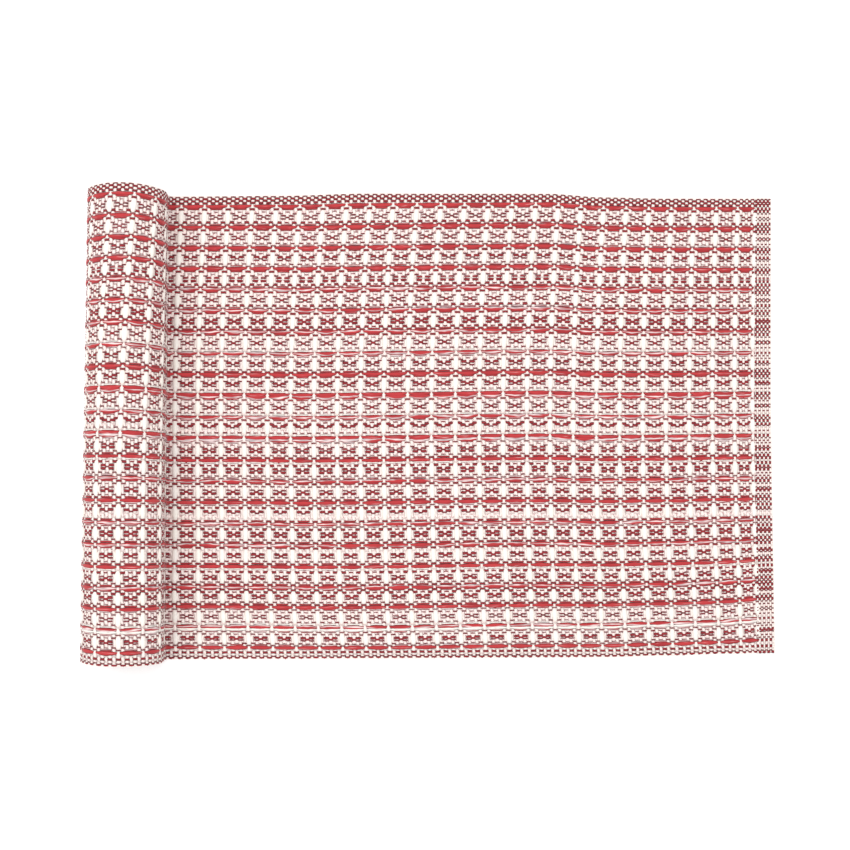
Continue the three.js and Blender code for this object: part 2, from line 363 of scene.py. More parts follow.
def edges_at(along):
    """Where the two edges lie at this distance along the cloth, and how far each lifts."""
    places = EDGES[:, 0]
    after = np.clip(np.searchsorted(places, along), 1, len(places) - 1)
    share = smooth(places[after - 1], places[after], along)[..., None]
    between = EDGES[after - 1, 1:] * (1 - share) + EDGES[after, 1:] * share
    far, near, far_lift, near_lift = np.moveaxis(between, -1, 0)
    wound = along - WIND_START
    wave = np.sin(wound * 2 * np.pi / STAGGER_WAVE)
    stagger = TURN_STAGGER * smooth(STAGGER_STARTS, STAGGER_FULL, wound) * wave
    return far + stagger, near + stagger, far_lift, near_lift


def frame_shift():
    """From the roll's axis to the frame's origin, worked out from the solid's box."""
    low, high = (np.array(corner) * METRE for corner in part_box(SOLID))
    middle = (EDGES[:, 1].max() + EDGES[:, 2].min()) / 2
    return high[0] - END_X - END_REACH, (low[1] + high[1]) / 2 - middle


SHIFT_X, SHIFT_Y = frame_shift()


def lie(along, across, lift):
    """Points on the lying cloth, with the unit vectors out of it and along it. All in millimetres."""
    along, across, lift = np.broadcast_arrays(along, across, lift)
    x, z = middle_line(along)
    back_x, back_z = middle_line(np.maximum(along - SLOPE_REACH, 0.0))
    on_x, on_z = middle_line(np.minimum(along + SLOPE_REACH, CLOTH_LENGTH))
    run = np.hypot(on_x - back_x, on_z - back_z)
    run_x = (on_x - back_x) / run
    run_z = (on_z - back_z) / run
    far, near, far_lift, near_lift = edges_at(along)
    cross = across / HALF_WIDTH
    side = np.abs(cross)
    edge_lift = np.where(cross > 0, far_lift, near_lift) * smooth(LIFT_STARTS, 1.0, side)
    reach = END_REACH * smooth(-END_REACH_STARTS, 1.0, -cross) * (1 - smooth(0.0, END_REACH_FADE, along))
    rolled = smooth(FLAT_LENGTH - ROLL_FADE, FLAT_LENGTH, along)
    y = near + (far - near) * (cross + 1) / 2
    size = 1 - rolled * ROLL_TAPER * y / HALF_WIDTH
    points = np.stack(
        (
            (x + reach + lift * run_z) * size + rolled * ROLL_SKEW * y / HALF_WIDTH + SHIFT_X,
            y + SHIFT_Y,
            np.maximum(z + edge_lift - lift * run_x, 0.0) * size,
        ),
        axis=-1,
    )
    none = np.zeros_like(run_x)
    return points, np.stack((run_z, none, -run_x), axis=-1), np.stack((run_x, none, run_z), axis=-1)


def pick_place(pick):
    """Distance along the cloth of a pick, counted in picks from the first column of ovals."""
    places = np.arange(COLUMNS * PICKS_A_CELL + 1)
    column = np.interp(places // PICKS_A_CELL, COLUMN_NUMBERS, COLUMN_PLACES)
    following = np.interp(places // PICKS_A_CELL + 1, COLUMN_NUMBERS, COLUMN_PLACES)
    share = np.array(PICK_SHARES)[places % PICKS_A_CELL]
    known = column + (following - column) * share
    return np.interp(pick, places, known)


def bowed(along, across):
    """The same pick away from the middle of the cloth."""
    share = across / HALF_WIDTH
    bow = np.interp(along, BOW_PLACES, BOW_DEPTHS) * share**2 * (1 + 0.14 * share)
    on_roll = smooth(*ON_ROLL, along)
    askew = ROLL_ASKEW * (1 - ((across + HALF_WIDTH) / (ASKEW_FROM + HALF_WIDTH)) ** 2)
    sway = np.interp(along, NEAR_SWAY_PLACES, NEAR_SWAYS) * smooth(*NEAR_SIDE, -across)
    return along - bow + askew * on_roll + sway * (1 - on_roll) * smooth(0.0, 20.0, along)


def band_drift(along, across):
    """How far a band lies away from its place across the cloth."""
    on_roll = smooth(*ON_ROLL, along)
    sway = np.interp(along, SWAY_PLACES, SWAYS) * (1 - on_roll)
    sway = sway + ROLL_SWAY * on_roll * (1 - smooth(*ROLL_SWAY_FADES, across))
    rise = HEM_RISE * smooth(*NEAR_SIDE, -across) * (1 - smooth(0.0, HEM_RISE_LENGTH, along))
    return (sway + rise) * (1 - smooth(*DRIFT_FADES, np.abs(across)))


def warp_ends():
    """Every end of the warp, from the +Y edge to the -Y edge."""
    ends = [End(*place) for place in FAR_SELVEDGE]
    number = 0
    for band, kinds in enumerate(BANDS):
        roles = ("ridge",) * (len(kinds) - len(CELL_ROLES)) + CELL_ROLES
        centre = number + roles.index("centre")
        for role, kind in zip(roles, kinds):
            above = number < centre
            across = float(np.interp(number, END_NUMBERS, END_PLACES))
            if role == "fourth":
                across += -GATHERED if above else GATHERED
            shift = -DRAWN_IN if above and role == "third" and band < DRAWN_IN_BANDS else 0.0
            ends.append(End(across, role, kind, shift, above and role == "beside"))
            number += 1
    ends.append(End(END_PLACES[-1], "ridge", CLOSING_KIND))
    return ends + [End(*place) for place in NEAR_SELVEDGE]


def is_over(end, pick):
    """Whether this end passes over this pick."""
    return pick % PICKS_A_CELL in DRAFT[end.role]


def relief(end_phase, pick):
    """The waffle's depth, from 0 on the ridges to 1 in the middle of a cell."""
    along = (1 - np.cos(2 * np.pi * pick / PICKS_A_CELL)) / 2
    return along * (1 - np.cos(2 * np.pi * end_phase)) / 2


class Yarns:
    """Paths of yarns, kept point by point until they become one mesh."""

    def __init__(self):
        self.paths = []

    def add(self, along, across, lift, wide, thick, painted_light_and_tone, pale):
        """One yarn: where it runs, half its width and thickness, how light it is painted (painted light and
        shade, with some random lightness) and how pale its ply.
        """
        columns = np.broadcast_arrays(along, across, lift, wide, thick, painted_light_and_tone, pale)
        self.paths.append(np.stack([np.asarray(c, dtype=float) for c in columns]))


class Nodes:
    """A node tree, with functions that add nodes to it."""

    def __init__(self, tree):
        self.tree = tree
        self.link = tree.links.new

    def add(self, kind, **settings):
        node = self.tree.nodes.new(kind)
        for name, value in settings.items():
            setattr(node, name, value)
        return node

    def give(self, socket, value):
        """Links another node's output to a socket, or sets the socket to a number or a colour."""
        if isinstance(value, bpy.types.NodeSocket):
            self.link(value, socket)
        else:
            socket.default_value = (*value, 1.0) if isinstance(value, tuple) else value

    def math(self, operation, *values, kind="ShaderNodeMath"):
        node = self.add(kind, operation=operation)
        for socket, value in zip([s for s in node.inputs if s.enabled], values):
            self.give(socket, value)
        return next(s for s in node.outputs if s.enabled)


def yarn_tree():
    """Makes the node group that turns paths of points into closed yarns of oval section."""
    tree = bpy.data.node_groups.new("Yarn", "GeometryNodeTree")
    given_sockets = {
        "Geometry": "NodeSocketGeometry",
        "Sides": "NodeSocketInt",
        "Yarn Count": "NodeSocketFloat",
        "Longest Yarn": "NodeSocketFloat",
        "Material": "NodeSocketMaterial",
    }
    for name, kind in given_sockets.items():
        tree.interface.new_socket(name, in_out="INPUT", socket_type=kind)
    tree.interface.new_socket("Geometry", in_out="OUTPUT", socket_type="NodeSocketGeometry")
    nodes = Nodes(tree)
    add, link, math = nodes.add, nodes.link, nodes.math

    def total(*vectors):
        return math("ADD", *vectors, kind="ShaderNodeVectorMath")

    def read(name, data_type="FLOAT"):
        node = add("GeometryNodeInputNamedAttribute", data_type=data_type)
        node.inputs["Name"].default_value = name
        return next(s for s in node.outputs if s.enabled)

    def store(geometry, name, value, data_type="FLOAT", domain="POINT"):
        node = add("GeometryNodeStoreNamedAttribute", data_type=data_type, domain=domain)
        node.inputs["Name"].default_value = name
        link(geometry, node.inputs["Geometry"])
        link(value, next(s for s in node.inputs if s.name == "Value" and s.enabled))
        return node.outputs["Geometry"]

    def scaled(value, factor):
        node = add("ShaderNodeVectorMath", operation="SCALE")
        link(value, node.inputs["Vector"])
        link(factor, node.inputs["Scale"])
        return node.outputs["Vector"]

    given = add("NodeGroupInput")
    to_curve = add("GeometryNodeMeshToCurve")
    link(given.outputs["Geometry"], to_curve.inputs["Mesh"])
    position = add("GeometryNodeInputPosition").outputs["Position"]
    path = store(to_curve.outputs["Curve"], "centre", position, "FLOAT_VECTOR")

    circle = add("GeometryNodeCurvePrimitiveCircle", mode="RADIUS")
    link(given.outputs["Sides"], circle.inputs["Resolution"])
    circle.inputs["Radius"].default_value = 1.0
    turned = add("GeometryNodeTransform")
    link(circle.outputs["Curve"], turned.inputs["Geometry"])
    turned.inputs["Rotation"].default_value = (0.0, 0.0, -np.pi / 2)
    ring = store(turned.outputs["Geometry"], "ring", position, "FLOAT_VECTOR")
    index = add("GeometryNodeInputIndex").outputs["Index"]
    ring = store(ring, "turn", math("DIVIDE", index, given.outputs["Sides"]))

    tube = add("GeometryNodeCurveToMesh")
    tube.inputs["Fill Caps"].default_value = True
    link(path, tube.inputs["Curve"])
    link(ring, tube.inputs["Profile Curve"])

    split = add("ShaderNodeSeparateXYZ")
    link(read("ring", "FLOAT_VECTOR"), split.inputs[0])
    sideways = scaled(read("side", "FLOAT_VECTOR"), math("MULTIPLY", split.outputs["X"], read("wide")))
    outwards = scaled(read("rise", "FLOAT_VECTOR"), math("MULTIPLY", split.outputs["Y"], read("thick")))
    place = add("GeometryNodeSetPosition")
    link(tube.outputs["Mesh"], place.inputs["Geometry"])
    offset = total(sideways, outwards)
    link(total(read("centre", "FLOAT_VECTOR"), offset), place.inputs["Position"])

    # The last face around the yarn closes on its first point, whose place around is then 1 and not 0
    turn = read("turn")
    one_side = math("DIVIDE", 1.0, given.outputs["Sides"])
    last = math("GREATER_THAN", turn, math("SUBTRACT", 1.0, math("MULTIPLY", one_side, 1.5)))
    on_face = add("GeometryNodeFieldOnDomain", domain="FACE", data_type="FLOAT")
    link(last, next(s for s in on_face.inputs if s.enabled))
    closing = math("GREATER_THAN", next(s for s in on_face.outputs if s.enabled), 0.01)
    first = math("LESS_THAN", turn, math("MULTIPLY", one_side, 0.5))
    around = math("ADD", turn, math("MULTIPLY", closing, first))
    number = read("number")
    row = math("ADD", number, around)
    strands = add("ShaderNodeCombineXYZ")
    link(read("along"), strands.inputs["X"])
    link(row, strands.inputs["Y"])
    strip = add("ShaderNodeCombineXYZ")
    link(math("DIVIDE", read("along"), given.outputs["Longest Yarn"]), strip.inputs["X"])
    link(math("DIVIDE", row, given.outputs["Yarn Count"]), strip.inputs["Y"])
    mesh = store(place.outputs["Geometry"], "Strands", strands.outputs[0], "FLOAT2", "CORNER")
    mesh = store(mesh, "OFBake", strip.outputs[0], "FLOAT2", "CORNER")

    for name in ("centre", "ring", "turn", "side", "rise", "wide", "thick", "along", "number"):
        remove = add("GeometryNodeRemoveAttribute")
        remove.inputs["Name"].default_value = name
        link(mesh, remove.inputs["Geometry"])
        mesh = remove.outputs["Geometry"]
    shade = add("GeometryNodeSetShadeSmooth")
    link(mesh, shade.inputs["Geometry"])
    realize = add("GeometryNodeRealizeInstances")
    link(shade.outputs["Geometry"], realize.inputs["Geometry"])
    finish = add("GeometryNodeSetMaterial")
    link(realize.outputs["Geometry"], finish.inputs["Geometry"])
    link(given.outputs["Material"], finish.inputs["Material"])
    out = add("NodeGroupOutput")
    link(finish.outputs["Geometry"], out.inputs["Geometry"])
    return tree


def plain_mesh(name, source):
    """A plain mesh of the evaluated object, as a new object, and the source removed."""
    evaluated = source.evaluated_get(bpy.context.evaluated_depsgraph_get())
    mesh = bpy.data.meshes.new_from_object(evaluated)
    mesh.name = name
    old = source.data
    bpy.data.objects.remove(source)
    bpy.data.meshes.remove(old)
    piece = bpy.data.objects.new(name, mesh)
    bpy.context.collection.objects.link(piece)
    return piece


def weave_piece(name, yarns, natural, sides, crosswise=False):
    """Makes one piece from its yarns. Crosswise yarns are picks, the others ends."""
    material, slot = YARN_FINISHES[natural]
    table = np.concatenate(yarns.paths, axis=1)
    lengths = np.array([path.shape[1] for path in yarns.paths])
    along, across, lift, wide, thick, painted_light_and_tone, pale = table
    points, rise, run = lie(along, across, lift)
    thick = np.minimum(thick, np.maximum(points[:, 2], 0.02))
    count = len(points)
    starts = np.cumsum(lengths) - lengths
    number = np.repeat(np.arange(len(lengths)), lengths)
    source_mesh = bpy.data.meshes.new(name + "_paths")
    edges = np.stack((np.arange(count - 1), np.arange(1, count)), axis=1)
    edges = np.delete(edges, starts[1:] - 1, axis=0)
    source_mesh.vertices.add(count)
    source_mesh.edges.add(len(edges))
    source_mesh.vertices.foreach_set("co", (points / METRE).ravel())
    source_mesh.edges.foreach_set("vertices", edges.ravel())
    if crosswise:
        side = -run
        travelled = HALF_WIDTH - across
    else:
        side = np.zeros_like(rise)
        side[:, 1] = -1.0
        travelled = along - np.repeat(along[starts], lengths)
    values = {
        "side": side,
        "rise": rise,
        "wide": wide / METRE,
        "thick": thick / METRE,
        "along": travelled / METRE,
        "number": number,
        "painted_light_and_tone": painted_light_and_tone,
        "pale": pale,
    }
    for key, value in values.items():
        kind, field = ("FLOAT_VECTOR", "vector") if np.ndim(value) == 2 else ("FLOAT", "value")
        attribute = source_mesh.attributes.new(key, kind, "POINT")
        attribute.data.foreach_set(field, np.ravel(value).astype(np.float32))
    source = bpy.data.objects.new(name + "_paths", source_mesh)
    bpy.context.collection.objects.link(source)
    tree = bpy.data.node_groups.get("Yarn") or yarn_tree()
    modifier = source.modifiers.new("Yarn", "NODES")
    modifier.node_group = tree
    inputs = {s.name: s.identifier for s in tree.interface.items_tree if s.in_out == "INPUT"}
    modifier[inputs["Sides"]] = sides
    modifier[inputs["Yarn Count"]] = float(len(lengths))
    modifier[inputs["Longest Yarn"]] = float(np.ptp(travelled) / METRE)
    modifier[inputs["Material"]] = material_of(material)
    piece = plain_mesh(name, source)
    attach(piece, BODY)
    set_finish(piece, slot)
    return piece


def rings_of(end, first, last):
    """Rings along one end: their place in picks, their level from -1 to 1 and their share of its width."""
    rings = []
    outer = OUTER_REACH.get(end.role, DASH_REACH)
    for pick in range(first, last):
        in_cell = pick % PICKS_A_CELL
        before_reach = outer if in_cell < MIDDLE_PICK else DASH_REACH
        after_reach = outer if in_cell > MIDDLE_PICK else DASH_REACH
        here = is_over(end, pick)
        before = is_over(end, pick - 1)
        after = is_over(end, pick + 1)
        if here:
            if not before:
                rings.append((pick - before_reach, *RING_SIDE))
            rings.append((pick, *RING_TOP))
            if not after:
                rings.append((pick + after_reach, *RING_SIDE))
        elif before or after or pick in (first, last - 1) or pick in FOOT_PICKS:
            rings.append((pick, *RING_UNDER))
    return np.array(rings).T


def warp_groups():
    """The ends by the piece that they are made into."""
    groups = {"long_red_floats": [], "red_ends": [], "mixed_ends": [], "natural_ends": []}
    for end in warp_ends():
        kind = KINDS[end.kind]
        if kind.natural:
            groups["natural_ends"].append(end)
        elif end.role == "ridge":
            groups["long_red_floats"].append(end)
        elif kind.pale == 1.0:
            groups["mixed_ends"].append(end)
        else:
            groups["red_ends"].append(end)
    return groups


def end_yarn(yarns, weave, end, first, last, chance):
    """Adds one end of the waffle weave to the yarns."""
    kind = KINDS[end.kind]
    pick, level, width = rings_of(end, first, last)
    count = len(pick)
    in_cell = pick % PICKS_A_CELL
    from_middle = np.abs(in_cell - MIDDLE_PICK)
    over = level > 0.3
    along = pick_place(pick)
    place_chance, width_chance, tone_chance = END_CHANCES
    across = end.across + band_drift(along, end.across) + chance.normal(0.0, place_chance, count)
    thick = END_THICK
    # Painted shade: the dashes lighter by their kind, nearly black where the end dips under a pick
    painted_light_and_tone = np.where(over, kind.bright, END_UNDER_PAINTED_SHADE)
    depth = weave.relief * METRE * relief(PHASES[end.role], pick)
    above, below = END_LIFTS
    lift = np.where(level > 0, level * above, level * below) - depth * np.where(level > 0, *SUNK)
    if end.role == "ridge":
        lens = 1.0 - (from_middle / FLOAT_HALF_LENGTH) ** 2
        full = weave.float_width * METRE
        wide = full * np.clip(FLOAT_TIP + (1 - FLOAT_TIP) * lens, FLOAT_TIP, 1.0)
        bow = RIDGE_BOW * (0.15 + 0.85 * smooth(*RIDGE_BOW_FADES, end.across))
        across = across + bow * (1 - np.clip(lens, 0.0, 1.0))
        lift = np.where(over, FLOAT_LIFT + FLOAT_CROWN * lens, lift)
        thick = np.where(over, *FLOAT_THICKS)
        # Painted light on the long floats, painted shade where they dip under
        painted_light_and_tone = np.where(over, *FLOAT_PAINTED_LIGHTS)
    else:
        wide = kind.dash * width * (SELVEDGE_DASH if end.role in ("even", "odd") else 1.0)
        if end.role == "beside":
            starts, stops = SHORT_FLOAT_PICKS
            floated = (in_cell > starts) & (in_cell < stops)
            float_width, pull = SHORT_FLOATS[end.below_ridge]
            wide = np.where(floated, float_width * (0.8 + 0.2 * width), wide * CROSSING_DASH)
            painted_light_and_tone = np.where(floated & over, SHORT_FLOAT_PAINTED_LIGHT, painted_light_and_tone)
            across = across + np.where(floated, pull, 0.0)
        if end.role == "third":
            wide = wide * OUTER_DASH
            wide = np.where(from_middle < 0.7, wide * COVERED_DASH, wide)
            outer = (from_middle > 1.3) & (from_middle < 2.7)
            across = across + np.where(outer, end.shift, 0.0)
    wide = wide * (1 + chance.normal(0.0, width_chance, count))
    painted_light_and_tone = painted_light_and_tone + chance.normal(0.0, tone_chance, count)
    yarns.add(bowed(along, across), across, lift, wide, thick, painted_light_and_tone, kind.pale)


def padded(values, value):
    """The values with the same one added before and after them, for a pick's turns at the edges."""
    return np.concatenate(([value], values, [value]))


def pick_yarn(yarns, weave, pick, ends, chance):
    """Adds one pick of the waffle weave to the yarns."""
    across = np.array([end.across for end in ends])
    over_warp = np.array([not is_over(end, pick) for end in ends])
    phase = np.array([PHASES[end.role] for end in ends])
    first = pick % PICKS_A_CELL == 0
    wide = np.where(over_warp, *PICK_WIDTHS)
    thick = np.full(len(ends), PICK_THICK)
    # Painted shade where the pick dips under the ends
    painted_light_and_tone = np.where(over_warp, *PICK_PAINTED_LIGHTS)
    depth = weave.relief * METRE * relief(phase, float(pick))
    lift = np.where(over_warp, *PICK_LIFTS) - depth * np.where(over_warp, *SUNK)
    if first:
        oval = (phase >= 0.2) & over_warp
        full = weave.oval_width * METRE
        rounded = full * (1.0 - 0.9 * (0.5 - phase) ** 2 * 4)
        wide = np.where(oval, rounded, np.where(over_warp, *FAT_WIDTHS))
        thick = np.where(oval, *FAT_THICKS)
        lift = np.where(oval, 0.42 + 0.12 * (phase * 4 - 1), lift)
        # Painted light: the ovals, lying highest, are fully lit
        painted_light_and_tone = np.where(oval, 1.0, painted_light_and_tone)
    place = np.full(len(ends), float(pick_place(pick)))
    place_chance, width_chance = PICK_CHANCES
    place = place + chance.normal(0.0, place_chance, len(ends))
    towards_oval = {1: -OVAL_PULL, PICKS_A_CELL - 1: OVAL_PULL}.get(pick % PICKS_A_CELL, 0.0)
    place = place + towards_oval * smooth(0.24, 0.42, phase)
    if first:
        # A ring on either side of each oval, where the pick dives under the ends beside the ridge
        pairs = [{end.role, following.role} for end, following in zip(ends, ends[1:])]
        rings = np.array([number for number, pair in enumerate(pairs) if pair == {"beside", "third"}])
        across = np.insert(across, rings + 1, (across[rings] + across[rings + 1]) / 2)
        place = np.insert(place, rings + 1, place[rings])
        lift = np.insert(lift, rings + 1, 0.05)
        wide = np.insert(wide, rings + 1, full * 0.5)
        thick = np.insert(thick, rings + 1, 0.5)
        painted_light_and_tone = np.insert(painted_light_and_tone, rings + 1, 0.6)
    else:
        kept = np.ones(len(ends), dtype=bool)
        kept[1:-1] = (over_warp[1:-1] != over_warp[:-2]) | (over_warp[1:-1] != over_warp[2:])
        across, place, lift, wide, thick, painted_light_and_tone = (a[kept] for a in (across, place, lift, wide, thick, painted_light_and_tone))
    wide = wide * (1 + chance.normal(0.0, width_chance, len(wide)))
    across = across + band_drift(place, across)
    across = np.concatenate(([HALF_WIDTH + 0.1], across, [-HALF_WIDTH - 0.1]))
    along = bowed(padded(place, float(pick_place(pick))), across)
    wide = padded(wide, 0.7)
    yarns.add(along, across, padded(lift, 0.0), wide, padded(thick, 0.4), padded(painted_light_and_tone, 0.5), 0.0)


class Finish(Nodes):
    """A new material, with functions that add nodes to it."""

    def __init__(self, name):
        self.material = bpy.data.materials.new(name)
        self.material.use_nodes = True
        super().__init__(self.material.node_tree)
        self.shader = self.tree.nodes["Principled BSDF"]

    def mix(self, factor, low, high, blend_type="MIX"):
        """One colour between two, by a factor, or their product."""
        node = self.add("ShaderNodeMix", data_type="RGBA", blend_type=blend_type)
        for number, value in ((0, factor), (6, low), (7, high)):
            self.give(node.inputs[number], value)
        return node.outputs[2]

    def ramp(self, factor, *stops):
        """A colour by a factor, between two pairs of a place and a colour."""
        node = self.add("ShaderNodeValToRGB")
        for element, (place, colour) in zip(node.color_ramp.elements, stops):
            element.position = place
            element.color = (*colour, 1.0)
        self.link(factor, node.inputs["Fac"])
        return node.outputs["Color"]

    def attribute(self, name):
        return self.add("ShaderNodeAttribute", attribute_name=name).outputs["Fac"]

    def place(self, layer):
        return self.add("ShaderNodeUVMap", uv_map=layer).outputs["UV"]

    def split(self, layer):
        """The two parts of a place."""
        node = self.add("ShaderNodeSeparateXYZ")
        self.link(self.place(layer), node.inputs[0])
        return node.outputs["X"], node.outputs["Y"]

    def around_yarn(self):
        """The place around the yarn, from 0 to 1, with the top in the middle."""
        return self.math("FRACT", self.split("Strands")[1])

    def noise(self, place, scale, detail, dimensions):
        node = self.add("ShaderNodeTexNoise", noise_dimensions=dimensions)
        node.inputs["Scale"].default_value = scale
        node.inputs["Detail"].default_value = detail
        self.link(place, node.inputs["Vector"])
        return node.outputs["Fac"]

    def strand_noise(self, length, strands, seed):
        """A noise that runs in strands along the yarn: its scale in metres, and strands around the yarn."""
        mapping = self.add("ShaderNodeMapping")
        mapping.inputs["Location"].default_value = (seed, seed, 0.0)
        mapping.inputs["Scale"].default_value = (1.0 / length, strands, 1.0)
        self.link(self.place("Strands"), mapping.inputs["Vector"])
        return self.noise(mapping.outputs["Vector"], 1.0, 1.0, "2D")

    def painted_crevice_shade(self, colour, shade):
        """The colour with painted shade down the two sides of the yarn, which lie against its neighbours."""
        off_top = self.math("ABSOLUTE", self.math("SUBTRACT", self.around_yarn(), 0.5))
        sides = self.ramp(off_top, (CREVICE_STARTS, WHITE), (CREVICE_FULL, shade))
        return self.mix(1.0, colour, sides, "MULTIPLY")

    def finish(self, colour, height, strength, distance, settings):
        """Gives the shader its colour, its bump and its settings."""
        self.link(colour, self.shader.inputs["Base Color"])
        for name, value in settings.items():
            self.shader.inputs[name].default_value = value
        bump = self.add("ShaderNodeBump")
        bump.inputs["Strength"].default_value = strength
        bump.inputs["Distance"].default_value = distance
        self.link(height, bump.inputs["Height"])
        self.link(bump.outputs["Normal"], self.shader.inputs["Normal"])
        return self.material


def red_yarn_material(colours):
    """Dyed cotton of loose strands, with paler strands where its ply is mixed."""
    yarn = Finish("red_cotton_yarn")
    strands = yarn.strand_noise(0.009, 9.0, 0.0)
    painted_light_and_tone = yarn.attribute("painted_light_and_tone")
    # Painted shade: the red goes towards its shaded copy where the painted light is low
    deep = yarn.mix(painted_light_and_tone, tuple(colours.red_painted_shade), tuple(colours.red))
    # The mixed ply is a red and a natural strand. The natural one winds a little to and fro along the top,
    # and its share is greater where the yarn floats and is painted lighter. On red yarn a faint pale streak
    # along the top is a painted highlight
    winding = yarn.strand_noise(PLY_LENGTH, 1.0, 31.0)
    wound = yarn.math("MULTIPLY_ADD", winding, 0.7, yarn.around_yarn())
    off_middle = yarn.math("ABSOLUTE", yarn.math("SUBTRACT", wound, 0.85))
    mixed = yarn.math("MULTIPLY", yarn.attribute("pale"), yarn.math("MULTIPLY_ADD", painted_light_and_tone, 0.07, 0.05))
    share = yarn.math("MULTIPLY_ADD", painted_light_and_tone, 0.04, mixed)
    reach = yarn.math("SUBTRACT", yarn.math("SUBTRACT", share, 0.05), off_middle)
    ragged_ply_and_highlight = yarn.math("MULTIPLY_ADD", strands, 0.10, reach)
    ply_and_highlight_mask = yarn.add("ShaderNodeClamp")
    yarn.link(yarn.math("MULTIPLY_ADD", ragged_ply_and_highlight, 14.0, -0.4), ply_and_highlight_mask.inputs["Value"])
    thread = yarn.ramp(strands, (0.40, tuple(colours.natural_grey)), (0.58, tuple(colours.pale_red)))
    body = yarn.mix(ply_and_highlight_mask.outputs["Result"], deep, thread)
    patches = yarn.ramp(yarn.strand_noise(0.030, 2.0, 7.0), (0.30, (0.78, 0.74, 0.76)), (0.62, WHITE))
    colour = yarn.painted_crevice_shade(yarn.mix(1.0, body, patches, "MULTIPLY"), RED_CREVICE_SHADE)
    settings = {
        "Roughness": 0.82,
        "Specular IOR Level": 0.25,
        "Sheen Weight": 0.15,
        "Sheen Roughness": 0.5,
    }
    return yarn.finish(colour, strands, 0.5, 0.00025, settings)


def natural_yarn_material(colours):
    """Undyed cotton, thick and soft, with faint grey strands."""
    yarn = Finish("natural_cotton_yarn")
    strands = yarn.strand_noise(0.006, 10.0, 3.0)
    pale = yarn.attribute("pale")
    # Painted shade: the undyed yarn goes towards its pinkish shaded copy where the painted light is low
    body = yarn.mix(yarn.attribute("painted_light_and_tone"), tuple(colours.natural_shade), tuple(colours.natural))
    grey_strands = yarn.ramp(strands, (0.54, BLACK), (0.72, WHITE))
    amount = yarn.math("MULTIPLY", grey_strands, yarn.math("MULTIPLY_ADD", pale, 0.55, 0.1))
    streaked = yarn.mix(amount, body, tuple(colours.natural_grey))
    warm_patches = yarn.strand_noise(0.035, 1.3, 11.0)
    patches = yarn.ramp(warm_patches, (0.35, (1.0, 0.985, 0.96)), (0.65, (1.0, 0.975, 0.98)))
    product = yarn.mix(1.0, streaked, patches, "MULTIPLY")
    # Painted shade down the sides: soft and pinkish on the thick picks, greyer on the ends
    colour = yarn.mix(pale, yarn.painted_crevice_shade(product, PICK_CREVICE_SHADE), yarn.painted_crevice_shade(product, END_CREVICE_SHADE))
    settings = {"Roughness": 0.9, "Specular IOR Level": 0.2, "Sheen Weight": 0.1}
    return yarn.finish(colour, strands, 0.4, 0.0002, settings)


def ground_material(colours):
    """The close inner side of the weave, seen between the yarns and on the reverse."""
    cloth = Finish("cloth_ground")
    # Plain weave: the sign of the product of two waves says whether warp or weft shows
    waves = []
    for place, pitch in zip(cloth.split("Cloth"), GROUND_PITCHES):
        waves.append(cloth.math("SINE", cloth.math("MULTIPLY", place, 2 * np.pi / pitch)))
    product = cloth.math("MULTIPLY", *waves)
    noise = cloth.noise(cloth.place("Cloth"), 90.0, 2.0, "3D")
    uneven = cloth.math("MULTIPLY_ADD", noise, 0.8, product)
    # Painted shade: the undyed threads of the ground take the pinkish shaded natural colour
    colour = cloth.ramp(uneven, (0.75, tuple(colours.natural_shade)), (1.0, tuple(colours.ground_red)))
    settings = {"Roughness": 0.95, "Specular IOR Level": 0.15}
    return cloth.finish(colour, product, 0.6, 0.0004, settings)


def material_of(name):
    """One of the finishes, made when it is first asked for."""
    makers = {
        "red_cotton_yarn": red_yarn_material,
        "natural_cotton_yarn": natural_yarn_material,
        "cloth_ground": ground_material,
    }
    return bpy.data.materials.get(name) or makers[name](bpy.context.scene.runner_colours)


def ground_places():
    """Distances along the cloth at which the ground has a row of points."""
    hem = np.array([0.0, 0.5, 4.0, 8.0, 11.0, 11.8, 12.6])
    flat = np.linspace(HEM_WIDTH + 4.0, FLAT_LENGTH, 60)
    foot = np.linspace(FLAT_LENGTH, FLANK_START, 9)[1:]
    flank = np.linspace(FLANK_START, WIND_START, 6)[1:]
    turns = (ROLL_RADIUS - EYE_RADIUS) / TURN_PITCH
    steps = int(turns * 30)
    radius = np.linspace(ROLL_RADIUS, EYE_RADIUS, steps + 1)[1:]
    wound = WIND_START + np.pi * (ROLL_RADIUS**2 - radius**2) / TURN_PITCH
    return np.concatenate((hem, flat, foot, flank, wound))


def hem_share(across):
    """The hem's width, as a share of its width at the -Y edge."""
    return 1.0 - HEM_NARROWING * (0.5 + 0.5 * across / HALF_WIDTH)


def length_setting(name, description, default, limits):
    """A small length in the sidebar, in metres."""
    low, high = limits
    return bpy.props.FloatProperty(
        name=name, description=description, default=default, min=low, max=high, precision=5, unit="LENGTH"
    )


class RunnerWeave(bpy.types.PropertyGroup):
    """Sizes of the weave."""

    relief: length_setting(
        "Cell Depth", "How deep the middle of a waffle cell lies below its ridges", 0.00030, (0.0, 0.002)
    )
    float_width: length_setting(
        "Ridge Float Half Width",
        "Half the width of a long float in the middle of a cell's ridge",
        0.00172,
        (0.0005, 0.003),
    )
    oval_width: length_setting(
        "Oval Half Width",
        "Half the width of the thick pick where it floats as an oval",
        0.00245,
        (0.0005, 0.003),
    )
    seed: bpy.props.IntProperty(
        name="Seed",
        description="Start of the small chances by which yarns differ in place and width",
        default=7,
        min=0,
    )


def colour_setting(name, description, default):
    return bpy.props.FloatVectorProperty(
        name=name, description=description, default=default, size=3, min=0.0, max=1.0, subtype="COLOR"
    )


